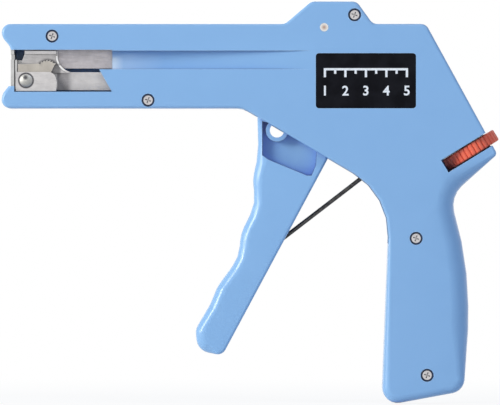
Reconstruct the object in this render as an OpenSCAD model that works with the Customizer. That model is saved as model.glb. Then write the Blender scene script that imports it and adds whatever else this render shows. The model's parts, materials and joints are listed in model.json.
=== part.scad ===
// Cable tie tensioning tool: a moulded pistol grip body in two halves, a finger
// trigger, and a steel pulling and cutting mechanism set by a thumb wheel.
// X runs from the nose to the back, Z is up, and Y goes through the thickness.
// The origin is on the nose plate's front face, at the tie slot, in mid-thickness.

/* [Body] */
// Length from the nose plate to the knob's rim
tool_l = 175; // [165:1:190]
// Height from the hump to the foot of the grip
tool_h = 141.4; // [134:1:150]
// Thickness over both halves
body_w = 22; // [21:0.5:26]
// Wall of the moulded halves
wall = 2; // [1.6:0.1:2.4]
// Round along most outer edges
edge_r = 1; // [0.5:0.1:1.1]
// Round along the front of the grip
front_r = 2.7; // [1.5:0.1:3.5]
// Round along the back of the grip
palm_r = 6.5; // [4:0.5:7.5]

/* [Fasteners] */
// Radius of a screw's shank
screw_r = 1.3; // [1:0.1:1.5]
// Radius of a screw's head
screw_head_r = 1.85; // [1.7:0.05:2]
// Height of a screw's head
screw_head_h = 1.5; // [1.2:0.1:1.8]
// Radius of the recess round a screw's head
recess_r = 2.3; // [2.2:0.1:2.6]
// Radius of a screw boss
boss_r = 3.5; // [3.2:0.1:3.8]
// Radius of the main pin
main_pin_r = 1.45; // [1.2:0.05:1.6]

/* [Nose] */
// Length of the side window behind the nose plate
window_l = 35.7; // [32:0.1:38]
// Height of the window's upper edge above the tie's middle
window_up = 2.5; // [2.3:0.1:3]
// Depth of the window's lower edge below the tie's middle
window_down = 12.3; // [12:0.1:13]
// Thickness of the nose plate
nose_t = 1.2; // [1:0.1:1.3]
// Height of the slot that a tie goes in by
tie_slot_h = 1.8; // [1.6:0.1:2]
// Widest tie
tie_w = 4.8; // [4:0.1:5]
// Thickness of the gripper head's sheet
head_t = 1; // [0.8:0.1:1.1]
// Thickness of the two long bars
bar_t = 1.4; // [1.2:0.1:1.5]
// Thickness of the cutter blade
blade_t = 0.7; // [0.5:0.1:0.8]
// Radius of the pawl's rivet
rivet_r = 1.2; // [1:0.1:1.3]

/* [Trigger] */
// Wall of the trigger's hollow back
trigger_wall = 2.5; // [2:0.1:2.6]
// Round along the trigger's front
finger_r = 3.4; // [2:0.2:3.6]
// Swing of the trigger in degrees
trigger_swing = 25; // [20:1:25]
// Distance from the trigger's pin to the line of the pull pin
pull_drop = 18.5; // [18:0.1:19]
// Radius of the trigger's pin
trigger_pin_r = 1.75; // [1.5:0.05:1.8]
// Radius of the pull pin
pull_pin_r = 1.5; // [1.2:0.1:1.6]

/* [Tension] */
// Distance from the main pin down to the trigger's pin
fulcrum_drop = 6.2; // [6.1:0.1:6.4]
// Distance from the main pin down to the cutter pin
cutter_drop = 15; // [14:0.1:15.5]
// Distance from the main pin to the rocker's roller
toe_l = 30.3; // [30:0.1:30.6]
// Radius of the roller
roller_r = 2.5; // [2:0.1:2.6]
// Radius of the knob
knob_r = 10.4; // [10:0.1:10.6]
// Thickness of the knob
knob_t = 4.3; // [4:0.1:4.4]
// Radius of the knob's threaded spindle
spindle_r = 2; // [1.8:0.1:2.2]
// Wire radius of the tension spring
tension_wire_r = 0.65; // [0.5:0.05:0.75]
// Coil radius of the tension spring, to the middle of its wire
tension_coil_r = 3.8; // [3.6:0.1:3.9]
// Turns of the tension spring
tension_turns = 7; // [5:1:8]

/* [Return spring] */
// Radius of its wire
wire_r = 0.75; // [0.6:0.05:0.8]
// Radius of its coil, to the middle of the wire
coil_r = 4.2; // [4:0.1:4.5]
// Length of the arm from the coil to its tip
arm_l = 54; // [52:0.5:56]
// Turns of the coil
coil_turns = 3; // [2:1:3]

/* [Label] */
// Thickness of the label plate
label_t = 0.4; // [0.3:0.1:0.6]
// Corner round of the label plate
label_r = 1.1; // [0.8:0.1:1.5]

/* [Hidden] */
// Overrun of every cut past the face that it opens
over = 1;
// Running clearance of a pin in its hole
fit = 0.05;
// Clearance between pieces that slide or lie side by side
gap = 0.3;
// Degrees between the points of a rounded corner
arc_step = 18;
// Sides of a round, and steps of a slot's round end
soft_fn = 48;
end_steps = 16;
half_w = body_w / 2;
inner_w = half_w - wall;
// The trigger's thickness as a share of the body's
trigger_w_share = 0.6818;
trigger_w = trigger_w_share * body_w;

// Rounds of the outline's corners, from tight to wide
tip_r = 1.6;
corner_r = 3;
bend_r = 7;
heel_r = 5.2;
neck_r = 9.5;
wave_r = 14;
sweep_r = 25;
bulge_r = 60;

function at(share) = [share[0] * tool_l, share[1] * tool_h];
function unit(v) = v / norm(v);
function polar(r, a) = [r * cos(a), r * sin(a)];
function wrap(a) = a > 180 ? a - 360 : a < -180 ? a + 360 : a;

// Points of one rounded corner as [x, z, inward x, inward z, edge round], for an
// outline that runs anticlockwise seen from the -Y side
function corner(before, here, after, r, edge) =
    let (a = unit(before - here))
    let (b = unit(after - here))
    let (half = acos(a * b) / 2)
    let (middle = here + unit(a + b) * r / sin(half))
    let (first = here + a * r / tan(half) - middle)
    let (last = here + b * r / tan(half) - middle)
    let (start = atan2(first[1], first[0]))
    let (turn = wrap(atan2(last[1], last[0]) - start))
    let (steps = max(1, ceil(abs(turn) / arc_step)))
    [for (i = [0:steps])
        let (p = polar(1, start + turn * i / steps))
        let (side = turn > 0 ? -1 : 1)
        [each middle + r * p, side * p[0], side * p[1], edge]];

// A whole outline from rows of [x share, z share, corner round, edge round]
function outline(rows) =
    rounded([for (row = rows) [each at(row), row[2], row[3]]]);

function flat(path) = [for (p = path) [p[0], p[1]]];
function spot(row) = [row[0], row[1]];

// An outline from rows of [x, z, corner round, edge round] in millimetres
function rounded(rows) =
    let (n = len(rows))
    [for (i = [0:n - 1])
        each corner(spot(rows[(i + n - 1) % n]), spot(rows[i]), spot(rows[(i + 1) % n]),
                    rows[i][2], rows[i][3])];
function inset(path, d) = [for (p = path) [p[0] + d * p[2], p[1] + d * p[3]]];

// The ring that is cut away along an outline to round the edge at depth w. Its section
// is the space outside a quarter round of each point's edge round
edge_steps = 4;

module rim(path, w) {
    n = len(path);
    rows = edge_steps + 2;
    step = 90 / edge_steps;
    bend = 1 - cos(step);
    points = [for (p = path)
        let (r = p[4])
        let (shape = [
            [-r * bend, w - r - r * sin(step)],
            for (k = [1:edge_steps - 1]) [r * (1 - cos(k * step)), w - r + r * sin(k * step)],
            [r + r * sin(step), w + r * bend],
            [-over, w + over]
        ])
        for (q = shape) [p[0] + q[0] * p[2], q[1], p[1] + q[0] * p[3]]];
    polyhedron(points, [for (i = [0:n - 1]) for (k = [0:rows - 1])
        let (a = i * rows + k)
        let (b = i * rows + (k + 1) % rows)
        let (c = (i + 1) % n * rows + k)
        let (d = (i + 1) % n * rows + (k + 1) % rows)
        each [[a, b, d], [a, d, c]]]);
}

// An XZ profile as a slab between two depths
module slab(y0, y1) {
    translate([0, y1, 0])
        rotate([90, 0, 0])
            linear_extrude(y1 - y0)
                children();
}

// A round bar along Y
module pin_y(p, r, y0, y1) {
    translate([p[0], y1, p[1]])
        rotate([90, 0, 0])
            cylinder(r = r, h = y1 - y0, $fn = soft_fn);
}

// A box from its two corners
module block(a, b) {
    translate(a)
        cube(b - a);
}

// Both sides of the mid plane
module both_sides() {
    children();
    mirror([0, 1, 0])
        children();
}

// A slot or lever profile with round ends, from a to b with half width r
module stadium(a, b, r) {
    turn = atan2(b[1] - a[1], b[0] - a[0]);
    polygon([
        for (i = [0:end_steps]) b + polar(r, turn - 90 + 180 * i / end_steps),
        for (i = [0:end_steps]) a + polar(r, turn + 90 + 180 * i / end_steps)
    ]);
}

// Corners of the body's outline
shell_shares = [
    [-0.0235, 0.0820, corner_r, edge_r],
    [-0.0150, 0.0460, corner_r, edge_r],
    [0.0000, 0.0240, corner_r, edge_r],
    [0.0000, -0.0670, corner_r, edge_r],
    [-0.0150, -0.0900, corner_r, edge_r],
    [-0.0235, -0.1280, corner_r, edge_r],
    [0.4680, -0.1280, bend_r, edge_r],
    [0.7643, -0.3440, sweep_r, edge_r],
    [0.7474, -0.8705, heel_r, front_r],
    [0.9120, -0.8330, heel_r, front_r],
    [0.9235, -0.6500, bulge_r, palm_r],
    [0.9165, -0.5000, bulge_r, palm_r],
    [0.8857, -0.3480, neck_r, palm_r],
    [0.9795, -0.2425, tip_r, edge_r],
    [0.8358, 0.0820, corner_r, edge_r],
    [0.7290, 0.0820, corner_r, edge_r],
    [0.6965, 0.1379, corner_r, edge_r],
    [0.6050, 0.1379, corner_r, edge_r],
    [0.5520, 0.0820, corner_r, edge_r]
];
shell_path = outline(shell_shares);

barrel_top = shell_shares[0][1] * tool_h;
barrel_bottom = shell_shares[5][1] * tool_h;

// Screws, seen from the near side
screw_shares = [
    [0.0835, 0.0515], [0.2766, -0.1080], [0.6921, 0.1045], [0.8159, -0.4520], [0.8380, -0.7930]
];
screws = [for (s = screw_shares) at(s)];

// Pivots of the mechanism
main_pin_share = [0.6309, 0.0735];
main_at = at(main_pin_share);
trigger_at = main_at - [0, fulcrum_drop];
cutter_pin_at = main_at - [0, cutter_drop];
pull_half = pull_drop * tan(trigger_swing / 2);
pull_at = trigger_at - [pull_half, pull_drop];
pull_stroke = 2 * pull_half;
pull_far = pull_drop / cos(trigger_swing / 2);
rocker_swing = 8;
cutter_stroke = cutter_drop * sin(rocker_swing);

// The knob's axis, which the tension spring shares
knob_share = [0.9280, -0.2313];
knob_at = at(knob_share);
knob_tilt = 31.5;
axis_up = polar(1, 90 + knob_tilt);
axis_side = polar(1, knob_tilt);
// Angle of the roller round the main pin, at rest
toe_rest = -8.67;
toe_at = main_at + polar(toe_l, toe_rest);
toe_along = (toe_at - knob_at) * axis_up;

// Puts a child that stands along +Z on the knob's axis
module on_knob_axis() {
    translate([knob_at[0], 0, knob_at[1]])
        rotate([0, -knob_tilt, 0])
            children();
}

// Tension spring stack, as heights above the middle of the knob
knob_clear = 0.4;
cup_wall = 0.5;
cup_top_t = 2;
cup_r = tension_coil_r + tension_wire_r + gap / 2 + cup_wall;
cup_l = 8;
stem_r = 2;
stem_l = 10;
cup_high = toe_along - roller_r - gap / 2;
cup_under = cup_high - cup_top_t;
nut_t = 4;
nut_half = 4.6;
nut_low = 14;
nut_high = nut_low + nut_t;
spindle_high = nut_high + wall;
journal_l = 3.5;
tunnel_low = knob_t / 2 + knob_clear;
tunnel_high = cup_high - cup_l / 2;
tunnel_wall = 1.8;

// Steel parts of the nose, as depths in Y
bar_back = -0.8;
bar_front = bar_back - bar_t;
bars_apart = 0.6;
head_inner = bar_front - head_t;
head_outer = head_inner - tie_w - gap;
near_outer = head_outer - head_t;
cutter_front = bar_back + bars_apart;
cutter_back = cutter_front + bar_t;
pawl_inner = head_inner - gap;
pawl_outer = head_outer + gap;

// Levels of the nose parts
anvil_low = 1.06;
anvil_high = anvil_low + head_t;
anvil_x = 5;
head_front = 3.4;
near_front = 1.8;
near_corner_r = 2.8;
near_top = -5.3;
head_low = -window_down + gap;

// The pawl's teeth stand on an arc round their own centre
teeth_at = [12.9, -5];
teeth_r = 4;
tooth_h = 0.6;
tooth_count = 6;
tooth_step = 16;
teeth_start = 42;
pawl_tail = teeth_at[0] + teeth_r * cos(teeth_start);
tail_room = 0.1;
near_end = pawl_tail + tail_room;

// The curved edge that joins the head's back wall to the bar
sweep_in_r = 5.7;
sweep_turn = 75;
head_edge_x = near_end + bar_t - head_t;
sweep_at = [head_edge_x + sweep_in_r, near_top + sweep_in_r];
lip_t = 0.6;
lip_h = 1.2;
lap = 0.3;
fold_lean = 31;
fold_l = 3.2;
fold_x = 17.4;
bar_low = -11.6;
cutter_high = 2.9;
cutter_low = -3.9;
rivet_at = [5.4, -8.3];
rivet_dome_r = 2.5;

// The blade and the inclined slot that lifts it
blade_x = nose_t + gap;
blade_high = -tie_slot_h / 2 - gap / 2;
blade_low = -11.2;
blade_far = 4.6;
cam_pin_r = 0.7;
cam_x = 7;
cam_z = -2.1;
cam_at = [cam_x, cam_z];
tab_t = 1;
cutter_x = blade_x + blade_t + cutter_stroke + gap;

module body_half() {
    difference() {
        slab(0, half_w)
            polygon(flat(shell_path));
        rim(shell_path, half_w);
    }
}

// Corners of the hollow in each half
cavity_shares = [
    [-0.0600, 0.0300], [0.0250, 0.0300], [0.0250, 0.0679], [0.5510, 0.0679],
    [0.6080, 0.1238], [0.6930, 0.1238], [0.7270, 0.0679], [0.8270, 0.0679],
    [0.9230, -0.1400], [0.8850, -0.2450], [0.8560, -0.3250], [0.8560, -0.4150],
    [0.8850, -0.5200], [0.8960, -0.6500], [0.8860, -0.8100],
    [0.7610, -0.8380], [0.7690, -0.4650], [0.7300, -0.4650], [0.4700, -0.1500],
    [0.4700, -0.1139], [0.0250, -0.1139], [0.0250, -0.0900], [-0.0600, -0.0900]
];

module cavity() {
    slab(-over, inner_w)
        polygon([for (s = cavity_shares) at(s)]);
}

// Ribs that carry the long bars
rib_shares = [0.21, 0.33, 0.44];
rib_t = 1.6;
rib_high = barrel_top - wall / 2;
rib_low = barrel_bottom + wall / 2;

// The round tunnel of the tension spring, and its square pocket for the nut
module tunnel_block() {
    reach = cup_r + gap + tunnel_wall;
    on_knob_axis()
        block([-reach, 0, tunnel_low], [reach - wall / 2, half_w - wall / 2, tunnel_high]);
}

module tunnel_bore() {
    on_knob_axis() {
        translate([0, 0, nut_high])
            cylinder(r = cup_r + fit, h = tunnel_high - nut_high + over, $fn = soft_fn);
        block([-nut_half - fit, -nut_half - fit, nut_low - gap],
              [nut_half + fit, nut_half + fit, cup_high - cup_l]);
        translate([0, 0, -tunnel_low - journal_l - gap])
            cylinder(r = spindle_r + fit, h = nut_low + tunnel_low + journal_l + gap, $fn = soft_fn);
    }
}

// The cut that the knob turns in, open through both sides and the back
module knob_cut() {
    on_knob_axis()
        block([-knob_r - 2 * knob_clear, -half_w - over, -knob_t / 2 - knob_clear],
              [2 * knob_r, half_w + over, knob_t / 2 + knob_clear]);
}

// Everything that both halves have, in the half on the +Y side
module plain_half() {
    difference() {
        union() {
            difference() {
                body_half();
                cavity();
            }
            for (s = rib_shares)
                block([s * tool_l, 0, rib_low], [s * tool_l + rib_t, half_w - wall / 2, rib_high]);
            slab(0, half_w - wall / 2)
                boss_profile();
            pin_y(main_at, main_boss_r, trigger_w / 2 - trigger_wall - gap / 2, half_w - wall / 2);
            pin_y(spring_at, post_r, 0, half_w - wall / 2);
            tunnel_block();
        }
        tunnel_bore();
        knob_cut();
        pin_y(main_at, main_pin_r + fit, -over, half_w + over);
        pin_y(toe_at, roller_r + gap, -over, plate_in + plate_t + gap);
        block([-fit, -over, plate_low - fit], [nose_t + fit, plate_w + fit, plate_high + fit]);
    }
}

// Screw bosses, cut off where they meet the outline
module boss_profile() {
    intersection() {
        polygon(inset(shell_path, wall / 2));
        for (p = screws)
            translate(p)
                circle(r = boss_r, $fn = soft_fn);
    }
}

main_boss_r = 2.7;
plate_high = window_up + wall / 2;
plate_low = -window_down - wall / 2;
plate_w = inner_w + wall / 2;

// The near half, with the window, the tail channel and the screw recesses
module left_shell() {
    color([0.36, 0.58, 0.85])
        difference() {
            union() {
                mirror([0, 1, 0])
                    plain_half();
                channel_walls();
            }
            window();
            channel();
            bar_path();
            for (p = screws) {
                pin_y(p, screw_r + fit, -half_w - over, over);
                pin_y(p, recess_r, -half_w - over, -half_w + recess_h);
            }
            slab(-half_w - over, -half_w + label_t)
                label_profile(fit);
        }
}

recess_h = 2.2;
window_slope = 4.5;
window_step = -4.4;
lip_high = -10.3;

module window() {
    slab(-half_w - over, -inner_w + over)
        polygon([
            [-window_l, window_up], [window_l, window_up], [window_l, window_step],
            [window_l - window_slope, window_step], [window_l, -window_down],
            [near_front - over / 2, -window_down], [near_front - over / 2, lip_high], [-window_l, lip_high]
        ]);
}

// The tail channel's floor starts deep at the window and slopes out to the side
channel_share = 0.605;
channel_end = channel_share * tool_l;
channel_deep = 6.3;
channel_high = window_up - gap;
channel_wall = 0.8;

module channel() {
    translate([0, 0, window_step])
        linear_extrude(channel_high - window_step)
            polygon([
                [window_l - over, -half_w - over], [channel_end, -half_w - over], [channel_end, -half_w],
                [window_l, -half_w + channel_deep], [window_l - over, -half_w + channel_deep]
            ]);
}

module channel_walls() {
    translate([0, 0, window_step - channel_wall])
        linear_extrude(channel_high - window_step + 2 * channel_wall)
            polygon([
                [window_l, -half_w + wall / 2], [channel_end - wall, -half_w + wall / 2],
                [channel_end - wall, -inner_w + wall / 2], [window_l, -half_w + channel_deep + wall]
            ]);
}

// The way that the two bars slide in, cut through the ribs
module bar_path() {
    block([window_l, bar_front - gap, bar_low - gap], [rib_end, over, near_top + gap]);
    block([window_l, cutter_front - gap, cutter_low - gap], [rib_end, cutter_back + gap, cutter_high + gap]);
}

rib_end_share = 0.48;
rib_end = rib_end_share * tool_l;

// The far half, with blind bosses for the screws
module right_shell() {
    color([0.34, 0.56, 0.83])
        difference() {
            plain_half();
            bar_path();
            for (p = screws)
                pin_y(p, screw_r + fit, -over, screw_end + gap);
        }
}

screw_end = 7.5;

module shell_screws() {
    head_y = -half_w + recess_h - screw_head_h;
    color([0.78, 0.78, 0.8])
        for (p = screws)
            difference() {
                union() {
                    pin_y(p, screw_r, head_y, screw_end);
                    pin_y(p, screw_head_r, head_y, head_y + screw_head_h - fit);
                }
                for (turn = [0, 90])
                    translate([p[0], head_y, p[1]])
                        rotate([0, turn + cross_turn, 0])
                            block([-cross_l, -over, -cross_w], [cross_l, cross_deep, cross_w]);
            }
}

cross_l = 1.1;
cross_w = 0.22;
cross_deep = 0.7;
cross_turn = 20;

// Corners of the label
label_low_share = [0.6143, -0.1280];
label_high_share = [0.8154, 0.0087];

module label_profile(grow) {
    a = at(label_low_share);
    b = at(label_high_share);
    r = label_r + grow;
    inset = [label_r, label_r];
    lower = a + inset;
    upper = b - inset;
    translate([a[0] - grow, lower[1]])
        square([b[0] - a[0] + 2 * grow, upper[1] - lower[1]]);
    translate([lower[0], a[1] - grow])
        square([upper[0] - lower[0], b[1] - a[1] + 2 * grow]);
    for (x = [lower[0], upper[0]])
        for (z = [lower[1], upper[1]])
            translate([x, z])
                circle(r = r, $fn = soft_fn);
}

module label_plate() {
    color([0.06, 0.06, 0.07])
        slab(-half_w, -half_w + label_t)
            label_profile(0);
}

// The nose plate, whose tie slot is open towards the near side
module nose_plate() {
    color([0.76, 0.76, 0.78])
        difference() {
            block([0, -inner_w, plate_low], [nose_t, plate_w, plate_high]);
            block([-over, -half_w, -tie_slot_h / 2], [nose_t + over, head_inner + gap, tie_slot_h / 2]);
        }
}

module main_pin() {
    color([0.8, 0.8, 0.82])
        pin_y(main_at, main_pin_r, -half_w, half_w);
}

// Corners of the trigger's outline below its fork
trigger_shares = [
    [0.4985, -0.2400, sweep_r, finger_r],
    [0.4865, -0.3080, wave_r, finger_r],
    [0.4935, -0.3640, wave_r, finger_r],
    [0.4630, -0.4400, wave_r, finger_r],
    [0.4590, -0.5000, wave_r, finger_r],
    [0.4165, -0.5720, bend_r, finger_r],
    [0.4010, -0.6180, bend_r, finger_r],
    [0.3715, -0.6800, heel_r, finger_r],
    [0.3760, -0.7330, heel_r, finger_r],
    [0.4262, -0.7440, corner_r, edge_r],
    [0.6385, -0.2540, corner_r, edge_r]
];
trigger_top_share = [0.4965, -0.1380];
fork_r = 3.2;
fork_in = trigger_w / 2 - trigger_wall;
web_r = 26;

// The whole outline, with the fork's corners set from the trigger's pin
function trigger_corners() = concat(
    [for (row = trigger_shares) [each at(row), row[2], row[3]]],
    [
        [each trigger_at + [fork_r, fork_r], fork_r - fit, edge_r],
        [each trigger_at + [-fork_r, fork_r], fork_r - fit, edge_r],
        [each at(trigger_top_share), corner_r, edge_r]
    ]);

// The trigger's outline as points with their edge rounds
function trigger_path() = rounded(trigger_corners());

// The pocket on both sides of the trigger, and the boss round its hole
pocket_shares = [
    [0.5060, -0.1600], [0.5060, -0.2450], [0.5180, -0.2560], [0.5960, -0.2960],
    [0.6060, -0.2960], [0.6150, -0.2700], [0.6180, -0.2300], [0.6180, -0.1900]
];
pocket_d = 4;
hole_share = [0.5360, -0.1830];
hole_r = 2.5;
hole_boss_r = 3.9;

module pocket_profile() {
    difference() {
        polygon([for (s = pocket_shares) at(s)]);
        translate(at(hole_share))
            circle(r = hole_boss_r, $fn = soft_fn);
    }
}

// The hollow that the return spring's arm slides in, open to the back
hollow_shares = [
    [0.5560, -0.3260], [0.5140, -0.3900], [0.4820, -0.5100], [0.4330, -0.5900], [0.4080, -0.6700],
    [0.4330, -0.7150], [0.4700, -0.7150], [0.6560, -0.2900]
];

module trigger() {
    color([0.37, 0.59, 0.86])
        difference() {
            slab(-trigger_w / 2, trigger_w / 2)
                polygon(flat(trigger_path()));
            both_sides()
                rim(trigger_path(), trigger_w / 2);
            both_sides()
                slab(trigger_w / 2 - pocket_d, trigger_w / 2 + over)
                    pocket_profile();
            pin_y(at(hole_share), hole_r, -half_w, half_w);
            slab(-fork_in, fork_in)
                polygon([for (s = hollow_shares) at(s)]);
            pin_y(trigger_at, web_r, -fork_in, fork_in);
            pin_y(trigger_at, trigger_pin_r + fit, -half_w, half_w);
            slab(-half_w, half_w)
                stadium(trigger_at + polar(pull_drop - gap, slot_angle),
                        trigger_at + polar(pull_far + gap, slot_angle), pull_pin_r + 2 * fit);
        }
}

slot_angle = -90 - trigger_swing / 2;

module trigger_pin() {
    color([0.72, 0.72, 0.74])
        pin_y(trigger_at, trigger_pin_r, -trigger_w / 2, trigger_w / 2);
}

// The lower bar and its folded gripper head
module pull_bar() {
    tail_x = pull_at[0] + tail_r;
    color([0.74, 0.73, 0.72])
        difference() {
            union() {
                slab(bar_front, bar_back)
                    polygon([
                        [near_end, bar_low], [tail_x - tail_l, bar_low],
                        [tail_x - tail_l, pull_at[1] - tail_r], [tail_x, pull_at[1] - tail_r],
                        [tail_x, near_top], [near_end, near_top]
                    ]);
                slab(head_inner, bar_front)
                    head_back_profile();
                head_fold();
                slab(near_outer, head_outer)
                    near_wall_profile();
                block([anvil_x, near_outer, anvil_low], [near_end, bar_front, anvil_high]);
                slab(head_inner - lip_h, head_inner)
                    head_lip_profile();
                block([head_front, near_outer, head_low], [near_end, bar_front, head_low + head_t]);
            }
            pin_y(rivet_at, rivet_r + fit, near_outer - over, over);
            pin_y(pull_at, pull_pin_r + fit, -half_w, over);
        }
}

tail_r = 4;
tail_l = 13;

// Points of the curved edge at radius r, from the anvil down to the bar
function head_curve(r) = [for (i = [0:end_steps]) sweep_at + polar(r, 180 + sweep_turn * i / end_steps)];
function backward(list) = [for (i = [len(list) - 1:-1:0]) list[i]];

// The back wall, whose lower part ends inside the fold
module head_back_profile() {
    curve = head_curve(sweep_in_r);
    inside = near_end - fold_l / 2;
    foot = near_top - lap;
    polygon(concat(
        [[head_front, head_low], [inside, head_low], [inside, foot], [curve[end_steps][0], foot]],
        backward(curve),
        [[head_edge_x, anvil_high], [anvil_x, anvil_high], [head_front, pawl_top]]));
}

// The raised lip along the curved edge
module head_lip_profile() {
    polygon(concat(head_curve(sweep_in_r), backward(head_curve(sweep_in_r + lip_t))));
}

// The bend that carries the head's back wall over to the bar, along a leaning line
module head_fold() {
    across = fold_l * cos(fold_lean);
    depth = bar_back - head_inner;
    intersection() {
        block([near_end - fold_l, head_inner - over, bar_low],
              [fold_x + 2 * fold_l, bar_back + over, near_top]);
        translate([fold_x, 0, bar_low])
            rotate([0, -fold_lean, 0])
                translate([0, 0, -fold_l])
                    linear_extrude(near_top - bar_low + 3 * fold_l)
                        polygon([
                            [-3 * fold_l, head_inner], [0, head_inner],
                            [across * depth / head_t, bar_back], [-3 * fold_l, bar_back]
                        ]);
    }
}

module near_wall_profile() {
    polygon(flat(rounded([
        [near_front, head_low, fit], [near_end, head_low, fit],
        [near_end, near_top, near_corner_r], [near_front, near_top, fit]
    ])));
}

module pull_pin() {
    color([0.7, 0.7, 0.72])
        pin_y(pull_at, pull_pin_r, -trigger_w / 2, trigger_w / 2);
}

module pawl_rivet() {
    dome_h = 0.7;
    color([0.8, 0.8, 0.8]) {
        pin_y(rivet_at, rivet_r, near_outer - fit, bar_front);
        translate([rivet_at[0], near_outer - fit, rivet_at[1]])
            rotate([90, 0, 0])
                rotate_extrude($fn = soft_fn)
                    intersection() {
                        translate([0, dome_h - dome_ball_r])
                            circle(r = dome_ball_r, $fn = soft_fn);
                        square([rivet_dome_r, dome_h]);
                    }
    }
}

dome_ball_r = 4;

// The pawl, with its arc of teeth under the anvil
module gripper_pawl() {
    color([0.7, 0.69, 0.66])
        difference() {
            slab(pawl_outer, pawl_inner)
                union() {
                    polygon(concat(
                        teeth_points(),
                        [
                            [pawl_nose, pawl_top], [pawl_nose, near_top],
                            rivet_at - [pawl_r, 0], rivet_at + [pawl_r, 0],
                            [near_end - leaf_l, tail_low]
                        ]));
                    translate(rivet_at)
                        circle(r = pawl_r, $fn = soft_fn);
                }
            pin_y(rivet_at, rivet_r + fit, near_outer - over, over);
        }
}

// Saw teeth whose steep sides face back
function teeth_points() = [for (i = [0:tooth_count])
    let (a = teeth_start + i * tooth_step)
    each [teeth_at + polar(teeth_r - tooth_h, a), teeth_at + polar(teeth_r, a)]];

pawl_nose = blade_x + blade_t + gap;
pawl_top = -2.6;
pawl_r = 2.7;
tail_low = -6.1;

// A short leaf under the pawl's tail
module pawl_spring() {
    color([0.55, 0.55, 0.57])
        slab(pawl_outer + gap, pawl_inner - gap)
            polygon([
                [near_end - 2 * leaf_t, head_low + head_t], [near_end - leaf_t, head_low + head_t],
                [near_end - leaf_t, leaf_high], [near_end - leaf_l, leaf_high + leaf_t],
                [near_end - leaf_l, leaf_high], [near_end - 2 * leaf_t, leaf_high - leaf_t]
            ]);
}

leaf_t = 0.4;
leaf_l = 2.2;
leaf_high = tail_low - gap - leaf_t;

// The lever that gives way at the set tension
plate_t = 1.6;
plate_play = 0.4;
plate_in = fork_in - plate_play - plate_t;
hub_r = 3.2;

module rocker() {
    color([0.62, 0.63, 0.66])
        difference() {
            union() {
                both_sides()
                    slab(plate_in, plate_in + plate_t)
                        rocker_profile();
                pin_y(main_at, hub_r, -plate_in, plate_in);
            }
            pin_y(main_at, main_pin_r + fit, -half_w, half_w);
            pin_y(toe_at, roller_pin_r + fit, -half_w, half_w);
            pin_y(cutter_pin_at, cutter_pin_r + fit, -half_w, half_w);
            slab(-half_w, half_w)
                stadium(trigger_at, trigger_at + [fulcrum_drop * sin(rocker_swing), 0],
                        trigger_pin_r + 2 * fit);
        }
}

cutter_pin_r = 1.5;
roller_pin_r = 1.2;
arm_r = 3;

module rocker_profile() {
    stadium(main_at, cutter_pin_at, arm_r + fit);
    translate(main_at)
        circle(r = hub_r + wall, $fn = soft_fn);
    translate(toe_at)
        circle(r = roller_r - gap, $fn = soft_fn);
    polygon([
        main_at + [0, hub_r - wall], toe_at + [0, roller_r / 2],
        toe_at - [0, roller_r - 2 * gap], cutter_pin_at + [arm_r / 2, fulcrum_drop / 2], trigger_at
    ]);
}

module rocker_roller() {
    color([0.75, 0.75, 0.77]) {
        pin_y(toe_at, roller_pin_r, -plate_in - plate_t, plate_in + plate_t);
        pin_y(toe_at, roller_r, -plate_in + gap, plate_in - gap);
    }
}

module cutter_pin() {
    color([0.72, 0.72, 0.74])
        pin_y(cutter_pin_at, cutter_pin_r, cutter_front, plate_in + plate_t);
}

// The upper bar, which works the blade by its inclined slot
module cutter_bar() {
    end_x = cutter_pin_at[0] + tail_r;
    tail_high = trigger_at[1] - trigger_pin_r - 2 * gap;
    slot_a = cutter_pin_at - [0, gap];
    slot_b = cutter_pin_at + [0, cutter_drop * (1 - cos(rocker_swing)) + gap];
    color([0.68, 0.67, 0.68])
        difference() {
            slab(cutter_front, cutter_back)
                polygon([
                    [cutter_x, cutter_low], [end_x - tail_l, cutter_low],
                    [end_x - tail_l, cutter_pin_at[1] - tail_r], [end_x, cutter_pin_at[1] - tail_r],
                    [end_x, tail_high], [end_x - tail_l, tail_high],
                    [end_x - tail_l, cutter_high], [cutter_x, cutter_high]
                ]);
            slab(-half_w, half_w) {
                stadium(slot_a, slot_b, cutter_pin_r + fit);
                stadium(cam_at - [gap, gap], cam_at + [cutter_stroke + gap, cutter_stroke + gap],
                        cam_pin_r + fit);
            }
        }
}

// The blade, its folded tab and the pin that runs in the inclined slot
module cutter_blade() {
    color([0.8, 0.8, 0.8]) {
        block([blade_x, head_outer + gap, blade_low], [blade_x + blade_t, blade_far, blade_high]);
        block([blade_x, cutter_back + gap, cam_at[1] - tab_drop],
              [cam_at[0] + tab_drop, cutter_back + gap + tab_t, blade_high]);
        pin_y(cam_at, cam_pin_r, cutter_front - gap, cutter_back + gap + tab_t / 2);
    }
}

tab_drop = 1.6;

// The cup that the rocker's roller presses on
module spring_plunger() {
    color([0.7, 0.7, 0.72])
        on_knob_axis()
            union() {
                difference() {
                    translate([0, 0, cup_high - cup_l])
                        cylinder(r = cup_r, h = cup_l, $fn = soft_fn);
                    translate([0, 0, cup_high - cup_l - over])
                        cylinder(r = cup_r - cup_wall, h = cup_l - cup_top_t + over, $fn = soft_fn);
                }
                translate([0, 0, cup_under - stem_l])
                    cylinder(r = stem_r, h = stem_l + over, $fn = soft_fn);
            }
}

// A helix of wire along +Z, from height z0 to z1 over the wire's own thickness
helix_steps = 8;
wire_sides = 6;

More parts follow.
